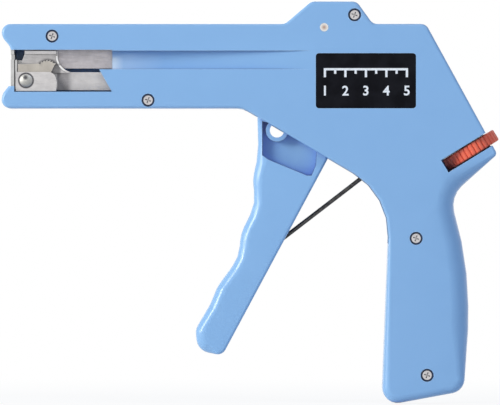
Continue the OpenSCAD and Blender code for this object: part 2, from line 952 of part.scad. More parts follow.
module helix(r, wire, turns, z0, z1) {
    steps = turns * helix_steps;
    rise = (z1 - z0 - 2 * wire) / turns;
    points = [for (i = [0:steps])
        let (a = 360 * i / helix_steps)
        let (lead = atan(rise / (2 * PI * r)))
        for (k = [0:wire_sides - 1])
            let (b = 360 * k / wire_sides)
            [(r + wire * cos(b)) * cos(a) + wire * sin(b) * sin(lead) * sin(a),
             (r + wire * cos(b)) * sin(a) - wire * sin(b) * sin(lead) * cos(a),
             z0 + wire + rise * i / helix_steps + wire * sin(b) * cos(lead)]];
    faces = [for (i = [0:steps - 1]) for (k = [0:wire_sides - 1])
        let (a = i * wire_sides)
        let (j = (k + 1) % wire_sides)
        let (b = a + wire_sides)
        each [[a + k, b + k, b + j], [a + k, b + j, a + j]]];
    last = steps * wire_sides;
    polyhedron(points, concat(faces,
        [[for (k = [0:wire_sides - 1]) k]],
        [[for (k = [wire_sides - 1:-1:0]) last + k]]));
}

module tension_spring() {
    color([0.5, 0.51, 0.53])
        on_knob_axis()
            helix(tension_coil_r, tension_wire_r, tension_turns, nut_high + fit, cup_under - fit);
}

module adjusting_nut() {
    color([0.75, 0.65, 0.4])
        on_knob_axis()
            difference() {
                block([-nut_half, -nut_half, nut_low], [nut_half, nut_half, nut_high]);
                translate([0, 0, nut_low - over])
                    cylinder(r = spindle_r + fit, h = nut_t + 2 * over, $fn = soft_fn);
            }
}

module adjusting_screw() {
    color([0.68, 0.68, 0.7])
        on_knob_axis()
            translate([0, 0, -tunnel_low - journal_l])
                cylinder(r = spindle_r, h = tunnel_low + journal_l + spindle_high, $fn = soft_fn);
}

// The thumb wheel, with a ribbed rim
rib_count = 36;
rib_r = 0.55;

module tension_knob() {
    color([0.86, 0.25, 0.12])
        on_knob_axis()
            difference() {
                translate([0, 0, -knob_t / 2])
                    cylinder(r = knob_r, h = knob_t, $fn = soft_fn);
                translate([0, 0, -knob_t])
                    cylinder(r = spindle_r + fit, h = 2 * knob_t, $fn = soft_fn);
                for (i = [0:rib_count - 1])
                    rotate([0, 0, 360 * i / rib_count])
                        translate([knob_r, 0, -knob_t])
                            cylinder(r = rib_r, h = 2 * knob_t, $fn = 6);
            }
}

// Return spring: its coil sits on a post, and its arm reaches into the trigger
spring_share = [0.7943, -0.2560];
spring_at = at(spring_share);
post_r = coil_r - wire_r - gap;
coil_gap = 0.525;
coil_pitch = 2 * wire_r + coil_gap;
coil_len = coil_turns * coil_pitch + 2 * wire_r;
coil_near = inner_w - gap - coil_len;
// Distance from the coil's near end to the middle of the arm
arm_side = 1.125;
arm_y = coil_near - arm_side;
// Direction in which the arm points, at rest
arm_angle = 217.57;

module return_coil() {
    color([0.3, 0.3, 0.31])
        translate([spring_at[0], coil_near, spring_at[1]])
            rotate([-90, 0, 0])
                helix(coil_r, wire_r, coil_turns, 0, coil_len);
}

module return_arm() {
    start = spring_at + polar(coil_r, arm_angle - 90) - polar(coil_r / 2, arm_angle);
    color([0.3, 0.3, 0.31])
        translate([start[0], arm_y, start[1]])
            rotate([0, 90 - arm_angle, 0])
                cylinder(r = wire_r, h = arm_l + coil_r / 2, $fn = soft_fn);
}

left_shell();
right_shell();
label_plate();
shell_screws();
nose_plate();
main_pin();
trigger();
trigger_pin();
pull_bar();
pull_pin();
pawl_rivet();
gripper_pawl();
pawl_spring();
rocker();
rocker_roller();
cutter_pin();
cutter_bar();
cutter_blade();
spring_plunger();
tension_spring();
adjusting_nut();
adjusting_screw();
tension_knob();
return_coil();
return_arm();
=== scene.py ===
# %% [markdown]
# # A cable tie tensioning tool
#
# The tool is a moulded pistol grip with steel parts in its nose. Every solid part comes
# from a fixed frame that is already at its real size, in metres. This lesson adds the
# finishes, the small shapes that only the eye needs, the light and the camera.

# %% Load the frame
import json
import math

import bmesh
import bpy
from mathutils import Matrix, Vector


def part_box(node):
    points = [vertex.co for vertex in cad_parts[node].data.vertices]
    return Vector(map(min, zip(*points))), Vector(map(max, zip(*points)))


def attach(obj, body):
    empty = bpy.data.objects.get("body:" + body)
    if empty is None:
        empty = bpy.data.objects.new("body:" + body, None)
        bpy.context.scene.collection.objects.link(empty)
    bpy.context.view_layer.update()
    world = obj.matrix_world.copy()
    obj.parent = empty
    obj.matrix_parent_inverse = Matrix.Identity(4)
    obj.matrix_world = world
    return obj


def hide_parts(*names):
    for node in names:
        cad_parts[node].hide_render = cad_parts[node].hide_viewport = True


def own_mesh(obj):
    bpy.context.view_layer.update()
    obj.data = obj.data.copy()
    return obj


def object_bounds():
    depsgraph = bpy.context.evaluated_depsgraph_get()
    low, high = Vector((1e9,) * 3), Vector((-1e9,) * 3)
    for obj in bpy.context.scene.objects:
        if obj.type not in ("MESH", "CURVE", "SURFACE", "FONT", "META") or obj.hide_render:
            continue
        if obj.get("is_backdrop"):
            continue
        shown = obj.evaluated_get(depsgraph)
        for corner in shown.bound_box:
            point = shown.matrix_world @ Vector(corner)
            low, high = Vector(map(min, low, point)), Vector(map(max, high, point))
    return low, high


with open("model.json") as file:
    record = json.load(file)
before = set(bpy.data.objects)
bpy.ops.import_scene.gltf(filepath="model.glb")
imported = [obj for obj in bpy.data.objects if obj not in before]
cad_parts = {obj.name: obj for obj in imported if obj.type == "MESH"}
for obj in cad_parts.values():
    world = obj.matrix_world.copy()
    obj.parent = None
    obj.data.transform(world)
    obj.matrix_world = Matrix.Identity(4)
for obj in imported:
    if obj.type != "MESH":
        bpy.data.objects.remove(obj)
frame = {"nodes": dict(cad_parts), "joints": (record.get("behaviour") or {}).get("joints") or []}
nodes = frame["nodes"]
cad_low, cad_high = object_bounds()
MM = 0.001
print("parts:", len(nodes), "size in mm:", [round(v / MM, 1) for v in cad_high - cad_low])

# %% [markdown]
# ## The camera
#
# The tool was photographed square on from its open side, from far off, so that nothing
# looks bent by perspective. A long lens does the same here. The camera's place follows
# from three measures: how wide the picture is on the near face, and the two that say
# which point of the tool lies in the picture's middle.

# %% Camera
PICTURE_W = 176.0 * MM
MIDDLE_X = 84.3 * MM
MIDDLE_Z = -51.3 * MM
SENSOR_W = 36.0
LENS = 500.0
CLIP_NEAR = 0.01
CLIP_FAR = 20.0

lens_data = bpy.data.cameras.new("camera")
lens_data.sensor_width = SENSOR_W
lens_data.lens = LENS
lens_data.clip_start = CLIP_NEAR
lens_data.clip_end = CLIP_FAR
camera = bpy.data.objects.new("camera", lens_data)
bpy.context.scene.collection.objects.link(camera)
camera.location = (MIDDLE_X, cad_low.y - PICTURE_W * LENS / SENSOR_W, MIDDLE_Z)
camera.rotation_euler = (math.radians(90), 0, 0)
bpy.context.scene.camera = camera
bpy.context.scene.view_settings.view_transform = "Standard"
print("camera stands", round(-camera.location.y, 3), "m in front")

# %% [markdown]
# ## Small builders for shaders
#
# World, floor and finishes are all trees of nodes. The same few steps come back in each
# of them, so they are functions: reckoning with two values or with two vectors, mixing
# two shaders, and telling the rays that see a surface from those that only light it.

# %% Node helpers
def value_math(tree, operation, first, second):
    """Reckons with two values: each is a number, or another node's socket."""
    node = tree.nodes.new("ShaderNodeMath")
    node.operation = operation
    for value, socket in zip((first, second), node.inputs):
        if isinstance(value, float):
            socket.default_value = value
        else:
            tree.links.new(value, socket)
    return node.outputs[0]


def vector_math(tree, operation, first, second):
    """Reckons with two vectors: the second one is typed, or another node's socket."""
    node = tree.nodes.new("ShaderNodeVectorMath")
    node.operation = operation
    tree.links.new(first, node.inputs[0])
    if isinstance(second, tuple):
        node.inputs[1].default_value = second
    else:
        tree.links.new(second, node.inputs[1])
    return node.outputs


def mix_shaders(tree, amount, first, second, output):
    """Joins two shaders to an output: the first where amount is 0, the second where 1."""
    choose = tree.nodes.new("ShaderNodeMixShader")
    out = tree.nodes.new(output)
    tree.links.new(amount, choose.inputs["Fac"])
    tree.links.new(first.outputs[0], choose.inputs[1])
    tree.links.new(second.outputs[0], choose.inputs[2])
    tree.links.new(choose.outputs[0], out.inputs["Surface"])


def seen_rays(tree):
    """A socket that is 1 for camera, glossy and transmission rays."""
    path = tree.nodes.new("ShaderNodeLightPath").outputs
    direct = value_math(tree, "MAXIMUM", path["Is Camera Ray"], path["Is Glossy Ray"])
    return value_math(tree, "MAXIMUM", direct, path["Is Transmission Ray"])


print("node helpers ready")

# %% [markdown]
# ## The world
#
# The picture has a plain white ground. A white world would show it, but it would also
# light the tool from all round and leave no shade. So the world is white for the rays
# that see it, and where it lights the tool it is weak and blue, which gives the hollows
# of the plastic their deeper blue.

# %% World
WHITE = (1, 1, 1, 1)
WORLD_BLUE = (0.34, 0.58, 1, 1)
WORLD_LIGHT = 0.33

world = bpy.data.worlds.new("studio")
bpy.context.scene.world = world
world.use_nodes = True
tree = world.node_tree
tree.nodes.clear()
seen = tree.nodes.new("ShaderNodeBackground")
seen.inputs["Color"].default_value = WHITE
seen.inputs["Strength"].default_value = 1.0
light = tree.nodes.new("ShaderNodeBackground")
light.inputs["Color"].default_value = WORLD_BLUE
light.inputs["Strength"].default_value = WORLD_LIGHT
mix_shaders(tree, seen_rays(tree), light, seen, "ShaderNodeOutputWorld")
print("world light", WORLD_LIGHT)

# %% [markdown]
# ## The floor
#
# The floor is a round pale sheet under the grip. Lamps alone would leave it grey, so most
# of its light comes from its own material where the camera or a reflection looks at it.
# Near the tool a little less does, and it keeps a faint shadow there.

# %% A piece from a bmesh
def piece_from(name, bm, material):
    """Makes an object of a bmesh that is already in its place, with one material."""
    mesh = bpy.data.meshes.new(name)
    bm.to_mesh(mesh)
    bm.free()
    mesh.materials.append(material)
    piece = bpy.data.objects.new(name, mesh)
    bpy.context.scene.collection.objects.link(piece)
    return piece


print("pieces are made by piece_from")

# %% Floor
FLOOR_R = 2.0
FLOOR_SIDES = 64
FLOOR_Z = cad_low.z - 0.5 * MM
PAPER_GREY = (0.86, 0.86, 0.86, 1)
OWN_WHITE_NEAR = 0.9
SHADOW_REACH = 0.4

paper = bpy.data.materials.new("floor_paper")
paper.use_nodes = True
tree = paper.node_tree
tree.nodes.clear()
matt = tree.nodes.new("ShaderNodeBsdfDiffuse")
matt.inputs["Color"].default_value = PAPER_GREY
glow = tree.nodes.new("ShaderNodeEmission")
glow.inputs["Color"].default_value = WHITE
glow.inputs["Strength"].default_value = 1.0
coords = tree.nodes.new("ShaderNodeTexCoord")
away = vector_math(tree, "DISTANCE", coords.outputs["Object"], (MIDDLE_X, 0, cad_low.z))
fade = tree.nodes.new("ShaderNodeMapRange")
fade.interpolation_type = "SMOOTHSTEP"
fade.inputs["From Max"].default_value = SHADOW_REACH
fade.inputs["To Min"].default_value = OWN_WHITE_NEAR
tree.links.new(away["Value"], fade.inputs["Value"])
own_white = value_math(tree, "MULTIPLY", seen_rays(tree), fade.outputs["Result"])
mix_shaders(tree, own_white, matt, glow, "ShaderNodeOutputMaterial")

bm = bmesh.new()
bmesh.ops.create_circle(bm, cap_ends=True, radius=FLOOR_R, segments=FLOOR_SIDES)
bmesh.ops.translate(bm, verts=bm.verts, vec=(MIDDLE_X, 0, FLOOR_Z))
floor = piece_from("floor", bm, paper)
floor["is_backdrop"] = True
print("floor at z =", round(FLOOR_Z / MM, 1), "mm")

# %% [markdown]
# ## The lamps
#
# The light comes from the front left and a little above, where a large soft lamp stands.
# A larger one, almost straight to the left, gives the broad pale bands on every round
# that faces left. The right side gets only a weak cool lamp, so the round back of the
# grip falls off into a deeper blue. Weak ones above and behind lift the top edges and
# the far side.

# %% Lamps
def soft_lamp(name, place, size, watts, colour):
    """A square lamp that looks at the tool's middle."""
    data = bpy.data.lights.new(name, "AREA")
    data.shape = "SQUARE"
    data.size = size
    data.energy = watts
    data.color = colour
    lamp = bpy.data.objects.new(name, data)
    bpy.context.scene.collection.objects.link(lamp)
    lamp.location = place
    aim = Vector((MIDDLE_X, 0, MIDDLE_Z)) - lamp.location
    lamp.rotation_euler = aim.to_track_quat("-Z", "Y").to_euler()
    print(name, watts, "W")


soft_lamp("lamp_left", (-1.47, -1.16, 0.56), size=0.66, watts=24.2, colour=(1, 0.98, 0.915))
soft_lamp("lamp_side", (-1.7, -0.55, 0.1), size=0.9, watts=13.5, colour=(1, 0.955, 0.84))
soft_lamp("lamp_right", (0.85, -0.78, 0.78), size=0.32, watts=3.2, colour=(0.80, 0.90, 1))
soft_lamp("lamp_top", (0.1, -0.8, 1.3), size=0.6, watts=1.6, colour=(1, 0.99, 0.97))
soft_lamp("lamp_back", (-0.2, 1.1, 0.6), size=0.7, watts=4.0, colour=(0.75, 0.87, 1))

# %% [markdown]
# ## Smooth curves, crisp edges
#
# The frame's meshes are loose triangles. Their own vertices stay as they are. A small
# geometry nodes modifier merges them for the eye and shades each surface smooth, except
# where two faces meet at more than a set angle. One node group serves every part.

# %% The smoothing modifier
MERGE_AT = 0.002 * MM
SMOOTH_UP_TO = 35.0
FLAT_FACE_WEIGHT = 100


def smoothing_group(name, angle):
    """A modifier group: merge by distance, then smooth shading up to an angle in degrees."""
    group = bpy.data.node_groups.new(name, "GeometryNodeTree")
    for way in ("INPUT", "OUTPUT"):
        group.interface.new_socket("Geometry", in_out=way, socket_type="NodeSocketGeometry")
    start = group.nodes.new("NodeGroupInput")
    end = group.nodes.new("NodeGroupOutput")
    merge = group.nodes.new("GeometryNodeMergeByDistance")
    merge.inputs["Distance"].default_value = MERGE_AT
    faces = group.nodes.new("GeometryNodeSetShadeSmooth")
    faces.domain = "FACE"
    faces.inputs["Shade Smooth"].default_value = True
    edges = group.nodes.new("GeometryNodeSetShadeSmooth")
    edges.domain = "EDGE"
    bend = group.nodes.new("GeometryNodeInputMeshEdgeAngle")
    gentle = value_math(group, "LESS_THAN", bend.outputs["Unsigned Angle"], math.radians(angle))
    group.links.new(start.outputs[0], merge.inputs["Geometry"])
    group.links.new(merge.outputs[0], faces.inputs["Geometry"])
    group.links.new(faces.outputs[0], edges.inputs["Geometry"])
    group.links.new(gentle, edges.inputs["Shade Smooth"])
    group.links.new(edges.outputs[0], end.inputs[0])
    return group


soft_edges = smoothing_group("smooth_to_35", SMOOTH_UP_TO)


def smooth_part(piece):
    """Shades a piece smooth without touching its mesh, and keeps its flat faces flat."""
    modifier = piece.modifiers.new("smooth", "NODES")
    modifier.node_group = soft_edges
    level = piece.modifiers.new("level", "WEIGHTED_NORMAL")
    level.keep_sharp = True
    level.weight = FLAT_FACE_WEIGHT


for name in nodes:
    smooth_part(nodes[name])
print("smoothed", len(nodes), "parts")

# %% [markdown]
# ## Building materials
#
# Every finish is a Principled shader. What is the same all over a surface is typed on
# the shader's own socket. What varies is a noise pattern on Object coordinates, which
# are real metres, so a grain of half a millimetre is half a millimetre on every part.
# Noise stays mostly between 0.35 and 0.65, and is spread from there. A finish starts
# from one colour pattern, its skin, and marks are laid over it in turn.

# %% A finish and its patterns
NOISE_LOW, NOISE_HIGH = 0.35, 0.65


class Finish:
    """A material with a Principled shader, and patterns that can be plugged into it."""

    def __init__(self, name, metallic=0.0, roughness=0.5, **sockets):
        self.material = bpy.data.materials.new(name)
        self.material.use_nodes = True
        self.tree = self.material.node_tree
        self.shader = self.tree.nodes["Principled BSDF"]
        self.shader.inputs["Metallic"].default_value = metallic
        self.shader.inputs["Roughness"].default_value = roughness
        for socket, value in sockets.items():
            self.shader.inputs[socket.replace("_", " ")].default_value = value
        self.place = self.tree.nodes.new("ShaderNodeTexCoord").outputs["Object"]
        self.skin = None
        self.bumps = None

    def link(self, out_socket, in_socket):
        """Joins two sockets."""
        self.tree.links.new(out_socket, in_socket)

    def noise(self, size, detail=2.0, stretch=(1, 1, 1)):
        """Noise whose blobs are about size metres, longer where stretch is above 1."""
        scaled = self.tree.nodes.new("ShaderNodeMapping")
        scaled.vector_type = "TEXTURE"
        scaled.inputs["Scale"].default_value = [size * s for s in stretch]
        pattern = self.tree.nodes.new("ShaderNodeTexNoise")
        pattern.inputs["Scale"].default_value = 1.0
        pattern.inputs["Detail"].default_value = detail
        self.link(self.place, scaled.inputs["Vector"])
        self.link(scaled.outputs[0], pattern.inputs["Vector"])
        return pattern.outputs["Fac"]

    def spread(self, value, low, high, start=NOISE_LOW, end=NOISE_HIGH):
        """Maps a value that runs from start to end to the range from low to high."""
        fit = self.tree.nodes.new("ShaderNodeMapRange")
        fit.inputs["From Min"].default_value = start
        fit.inputs["From Max"].default_value = end
        fit.inputs["To Min"].default_value = low
        fit.inputs["To Max"].default_value = high
        self.link(value, fit.inputs["Value"])
        return fit.outputs["Result"]

    def times(self, first, second):
        """The product of two values."""
        return value_math(self.tree, "MULTIPLY", first, second)

    def colour(self, value, dark, pale, start=NOISE_LOW, end=NOISE_HIGH):
        """Makes the skin: a pattern coloured from dark to pale."""
        ramp = self.tree.nodes.new("ShaderNodeValToRGB")
        ramp.color_ramp.elements[0].position = start
        ramp.color_ramp.elements[0].color = (*dark, 1)
        ramp.color_ramp.elements[1].position = end
        ramp.color_ramp.elements[1].color = (*pale, 1)
        self.link(value, ramp.inputs["Fac"])
        self.skin = ramp.outputs["Color"]
        self.link(self.skin, self.shader.inputs["Base Color"])

    def lay(self, amount, colour, share=1.0):
        """Lays a colour over the skin where amount is 1, fully or up to a share."""
        if share < 1.0:
            amount = self.times(amount, share)
        blend = self.tree.nodes.new("ShaderNodeMix")
        blend.data_type = "RGBA"
        blend.inputs[7].default_value = (*colour, 1)
        self.link(amount, blend.inputs["Factor"])
        self.link(self.skin, blend.inputs[6])
        self.skin = blend.outputs[2]
        self.link(self.skin, self.shader.inputs["Base Color"])

    def rough(self, value):
        """Lets a value set the roughness."""
        self.link(value, self.shader.inputs["Roughness"])

    def bump(self, height, depth):
        """Raises a pattern by depth metres, over the bumps that were added before."""
        node = self.tree.nodes.new("ShaderNodeBump")
        node.inputs["Strength"].default_value = 1.0
        node.inputs["Distance"].default_value = depth
        self.link(height, node.inputs["Height"])
        if self.bumps is not None:
            self.link(self.bumps, node.inputs["Normal"])
        self.bumps = node.outputs["Normal"]
        self.link(self.bumps, self.shader.inputs["Normal"])


def dress(finish, *names):
    """Gives parts of the frame a finish."""
    for name in names:
        slots = nodes[name].data.materials
        slots.clear()
        slots.append(finish.material)


print("a finish has a skin, a roughness and bumps")

# %% [markdown]
# Painted highlights and wear sit on outer edges and painted shade in corners, and both can be
# found from the shape itself. Other marks belong to one place on the tool: they are bounded by
# planes, by a point or by an axis that runs across the tool.

# %% Painted highlights and wear, painted shade and marks in one place
ALONG = (1, 0, 0)
ACROSS = (0, 1, 0)
UP = (0, 0, 1)
DOWN = (0, 0, -1)
RAY_SAMPLES = 4
CORE_SHARE = 0.4


class WearAndPaintedLightFinish(Finish):
    """A finish that also knows its edges, its corners and places on the tool."""

    def worn_and_highlit_edges(self, radius):
        """A value near 1 on outer edges, for painted highlights and wear, from how much a rounded
        normal differs.
        """
        rounded = self.tree.nodes.new("ShaderNodeBevel")
        rounded.samples = RAY_SAMPLES
        rounded.inputs["Radius"].default_value = radius
        flat = self.tree.nodes.new("ShaderNodeNewGeometry").outputs["Normal"]
        alike = vector_math(self.tree, "DOT_PRODUCT", rounded.outputs[0], flat)
        return self.spread(alike["Value"], 1.0, 0.0, start=0.75, end=0.99)

    def crevices(self, reach, most, closed, wide):
        """A value for painted shade that is highest in corners: most where closed, 0 where wide
        open.
        """
        node = self.tree.nodes.new("ShaderNodeAmbientOcclusion")
        node.samples = RAY_SAMPLES
        node.inputs["Distance"].default_value = reach
        return self.spread(node.outputs["AO"], most, 0.0, start=closed, end=wide)

    def near_point(self, point, radius):
        """A value of 1 round a point of the tool that fades to 0 at a radius in metres."""
        away = vector_math(self.tree, "DISTANCE", self.place, point)
        return self.spread(away["Value"], 1.0, 0.0, start=CORE_SHARE * radius, end=radius)

    def near_axis(self, x, z, radius, soft):
        """A value of 1 within a radius of an axis that runs across the tool."""
        flat = vector_math(self.tree, "MULTIPLY", self.place, (1, 0, 1))
        away = vector_math(self.tree, "DISTANCE", flat[0], (x, 0, z))
        return self.spread(away["Value"], 1.0, 0.0, start=radius - soft, end=radius + soft)

    def beyond(self, direction, start, soft):
        """A value that climbs from 0 to 1 past a plane: start metres along a direction."""
        along = vector_math(self.tree, "DOT_PRODUCT", self.place, direction)
        return self.spread(along["Value"], 0.0, 1.0, start=start - soft, end=start + soft)

    def between(self, direction, low, high, soft, soft_end=None):
        """A value of 1 from one plane to another, each with its own softness."""
        back = tuple(-c for c in direction)
        return self.times(self.beyond(direction, low, soft),
                          self.beyond(back, -high, soft_end or soft))


print("a worn finish also has edges, corners and places")

# %% [markdown]
# ## A painted highlight in the blue plastic's channel
#
# The tail of a tie slides out through the window along a sloping channel. Its floor gets a
# painted highlight, nearly white where it leaves the window and faces the lamps, and a little
# pale for a centimetre more. A painted image could show it, but bounds in real millimetres stay
# right when the tool is seen from another side.

# %% Pale channel
CHANNEL_HIGHLIGHT = (0.74, 0.85, 0.96)
CHANNEL_HALF_W = 7 * MM
MOUTH_FROM, MOUTH_TO = 35.5 * MM, 38.2 * MM
MOUTH_LOW, MOUTH_TOP = -4.5 * MM, 0.0
FADED_TO = 48 * MM
FADED_TOP = 1.2 * MM


def paint_channel_highlight(plastic):
    """Paints a highlight in the tail channel: most at its mouth, and less further on."""
    inside = plastic.between(ACROSS, -CHANNEL_HALF_W, CHANNEL_HALF_W, soft=0.5 * MM)
    mouth = plastic.between(ALONG, MOUTH_FROM, MOUTH_TO, soft=0.3 * MM, soft_end=1.5 * MM)
    level = plastic.between(UP, MOUTH_LOW, MOUTH_TOP, soft=0.2 * MM, soft_end=0.6 * MM)
    plastic.lay(plastic.times(plastic.times(mouth, inside), level), CHANNEL_HIGHLIGHT, share=0.8)
    faded = plastic.between(ALONG, MOUTH_FROM, FADED_TO, soft=0.3 * MM, soft_end=6 * MM)
    level = plastic.beyond(DOWN, -FADED_TOP, soft=0.6 * MM)
    plastic.lay(plastic.times(plastic.times(faded, inside), level), CHANNEL_HIGHLIGHT, share=0.25)


print("channel is pale from", MOUTH_FROM / MM, "to", FADED_TO / MM, "mm")

# %% [markdown]
# ## Blue plastic
#
# The two halves and the trigger are moulded in a light blue plastic with a satin skin.
# A mould leaves a fine even grain, a slow waviness and a little sheen. Outer edges get a painted
# highlight, partly wear from handling, that makes them a touch paler. Hollows and corners get
# painted shade in a deeper blue, and the seam where the two halves meet is a thin dark line, so
# it is drawn in the finish.

# %% Blue plastic
BLUE = (0.268, 0.477, 0.748)
BLUE_DEEP = (0.260, 0.467, 0.738)
BLUE_PALE = (0.42, 0.62, 0.86)
BLUE_SHADE = (0.13, 0.24, 0.68)
NAVY = (0.012, 0.028, 0.11)
CLOUDS = 9 * MM
DULL_PATCHES = 14 * MM
WAVES, WAVE_DEPTH = 6 * MM, 0.02 * MM
GRAIN, GRAIN_DEPTH = 0.35 * MM, 0.006 * MM
SEAM_HALF_W, SEAM_DEPTH = 0.09 * MM, 0.05 * MM
PALE_EDGE = 0.35 * MM
CORNER_SHADE_REACH = 1.3 * MM


def blue_plastic(name, tint, reach, shade):
    """The moulded blue: its tint, how far painted shade reaches in its hollows and how strong it
    is.
    """
    plastic = WearAndPaintedLightFinish(name, roughness=0.23, IOR=1.46, Specular_IOR_Level=0.5)
    dark, pale = [tuple(c * tint for c in blue) for blue in (BLUE_DEEP, BLUE)]
    plastic.colour(plastic.noise(CLOUDS, detail=3.0), dark, pale, start=0.2, end=0.8)
    paint_channel_highlight(plastic)
    # Painted shade in the hollows.
    plastic.lay(plastic.crevices(reach, most=shade, closed=0.35, wide=0.8), BLUE_SHADE)
    # Painted highlight on outer edges, partly wear.
    plastic.lay(plastic.worn_and_highlit_edges(PALE_EDGE), BLUE_PALE)
    # Painted shade: the darkest corners in navy.
    plastic.lay(plastic.crevices(CORNER_SHADE_REACH, most=0.95, closed=0.2, wide=0.62), NAVY)
    seam = plastic.between(ACROSS, -SEAM_HALF_W, SEAM_HALF_W, soft=0.3 * SEAM_HALF_W)
    plastic.lay(seam, NAVY, share=0.6)
    patches = plastic.noise(DULL_PATCHES)
    plastic.rough(plastic.spread(patches, low=0.2, high=0.26, start=0.2, end=0.8))
    plastic.bump(plastic.noise(WAVES, detail=1.0), WAVE_DEPTH)
    plastic.bump(plastic.noise(GRAIN), GRAIN_DEPTH)
    plastic.bump(plastic.times(seam, -1.0), SEAM_DEPTH)
    return plastic


shell_blue = blue_plastic("blue_plastic", tint=1.0, reach=2.2 * MM, shade=0.35)
trigger_blue = blue_plastic("blue_plastic_trigger", tint=1.02, reach=7 * MM, shade=0.8)
dress(shell_blue, "left_shell", "right_shell")
dress(trigger_blue, "trigger")
print("blue plastic on three parts")

# %% [markdown]
# ## Steel
#
# The bars and the gripper are punched from bright sheet: fine lines run along them from
# rolling. The blade and the nose plate are ground, with shorter lines across. Pins and
# the rivet are turned. One function makes them all, with the direction of the lines, how
# deep they are and how bright the metal is.

# %% Steel
EDGE_HIGHLIGHT = (0.92, 0.92, 0.92)
PAINTED_DARK = (0.035, 0.035, 0.045)
EDGE_REACH = 0.14 * MM
CORNER_REACH = 0.9 * MM
METAL_CLOUDS = 2.5 * MM
CLOUD_SHARE = 0.88
SHINY_SHARE, DULL_SHARE = 0.75, 1.3


def steel(name, bright, roughness, stretch, line=0.12, depth=0.004, corner=CORNER_REACH):
    """Bright metal with lines drawn out along the longest stretch; line, depth in mm."""
    metal = WearAndPaintedLightFinish(name, metallic=1.0, roughness=roughness)
    lines = metal.noise(line * MM, detail=3.0, stretch=stretch)
    dark = tuple(c * CLOUD_SHARE for c in bright)
    metal.colour(metal.noise(METAL_CLOUDS, detail=3.0), dark, bright)
    # Painted highlight on outer edges, partly wear.
    metal.lay(metal.worn_and_highlit_edges(EDGE_REACH), EDGE_HIGHLIGHT)
    # Painted shade in corners.
    metal.lay(metal.crevices(corner, most=1.0, closed=0.15, wide=0.7), PAINTED_DARK)
    metal.rough(metal.spread(lines, roughness * SHINY_SHARE, roughness * DULL_SHARE))
    metal.bump(lines, depth * MM)
    return metal


sheet_steel = steel("steel_rolled_sheet", (0.55, 0.525, 0.55), roughness=0.36, stretch=(40, 1, 1))
tooth_steel = steel("steel_toothed", (0.475, 0.445, 0.405), roughness=0.40, stretch=(6, 1, 25),
                    depth=0.006, corner=0.5 * MM)
ground_steel = steel("steel_ground", (0.58, 0.58, 0.58), roughness=0.30, stretch=(1, 30, 1))
pin_steel = steel("steel_pin", (0.40, 0.34, 0.31), roughness=0.42, stretch=(1, 20, 1))
pressed_steel = steel("steel_pressed", (0.60, 0.60, 0.62), roughness=0.38, stretch=(20, 1, 20),
                      line=0.3)
dress(sheet_steel, "cutter_bar")
dress(tooth_steel, "gripper_pawl")
dress(ground_steel, "cutter_blade", "nose_plate")
dress(pin_steel, "trigger_pin", "pull_pin", "cutter_pin", "rocker_roller")
dress(pressed_steel, "rocker", "spring_plunger", "adjusting_screw")
print("five steels")

# %% [markdown]
# ## The rivet and the main pin
#
# The rivet's head has a painted dark spot near its top, and a painted shadow ring where the head
# sits on the wall. The end of the main pin has a brown hollow in its middle. These marks are too
# small to model, so they are placed round the parts' own axes, which come from the frame.

# %% Rivet and main pin
RIVET_R = 2.5 * MM
RING_W = 0.3 * MM
DARK_SPOT_R = 1.1 * MM
DARK_SPOT_LEFT, DARK_SPOT_UP = 0.2 * MM, 1.1 * MM
PIN_HOLLOW_R = 0.7 * MM
PIN_BROWN = (0.42, 0.30, 0.25)
rivet_face_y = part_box("pawl_rivet")[0].y


def axis_of(name):
    """The x and z of the axis of a round part that lies across the tool."""
    low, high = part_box(name)
    return (low.x + high.x) / 2, (low.z + high.z) / 2


rivet_x, rivet_z = axis_of("pawl_rivet")


def rivet_ring_shadow(metal):
    """Paints a shadow in the seam between the rivet's head and the wall that it sits on."""
    within = metal.near_axis(rivet_x, rivet_z, RIVET_R - RING_W, soft=RING_W / 2)
    outside = metal.spread(within, 1.0, 0.0, start=0.0, end=1.0)
    inside = metal.near_axis(rivet_x, rivet_z, RIVET_R + RING_W, soft=RING_W / 2)
    metal.lay(metal.times(outside, inside), PAINTED_DARK, share=0.9)


rivet_steel = steel("steel_rivet", (0.42, 0.42, 0.41), roughness=0.55, stretch=(3, 1, 3))
# A painted dark spot near the top of the rivet's head.
dark_spot = rivet_steel.near_point((rivet_x - DARK_SPOT_LEFT, rivet_face_y, rivet_z + DARK_SPOT_UP), DARK_SPOT_R)
rivet_steel.lay(dark_spot, PAINTED_DARK, share=0.85)
rivet_ring_shadow(rivet_steel)
dress(rivet_steel, "pawl_rivet")

pin_x, pin_z = axis_of("main_pin")
pin_end_steel = steel("steel_pin_end", (0.74, 0.72, 0.70), roughness=0.42, stretch=(1, 20, 1))
pin_hollow = pin_end_steel.near_axis(pin_x, pin_z, PIN_HOLLOW_R, soft=0.5 * MM)
pin_end_steel.lay(pin_hollow, PIN_BROWN)
dress(pin_end_steel, "main_pin")
print("rivet at", round(rivet_x / MM, 1), round(rivet_z / MM, 1), "mm has a dent and a ring")

# %% [markdown]
# ## The folded gripper strip
#
# The gripper's strip is bent towards the viewer behind its near wall. The bend gets painted
# shade, darker past the slanted line of the fold where it dives under the wall. Painted shade
# darkens the metal round the teeth, a painted shadow line runs along the pawl's top, and the
# raised lip gets a painted highlight.

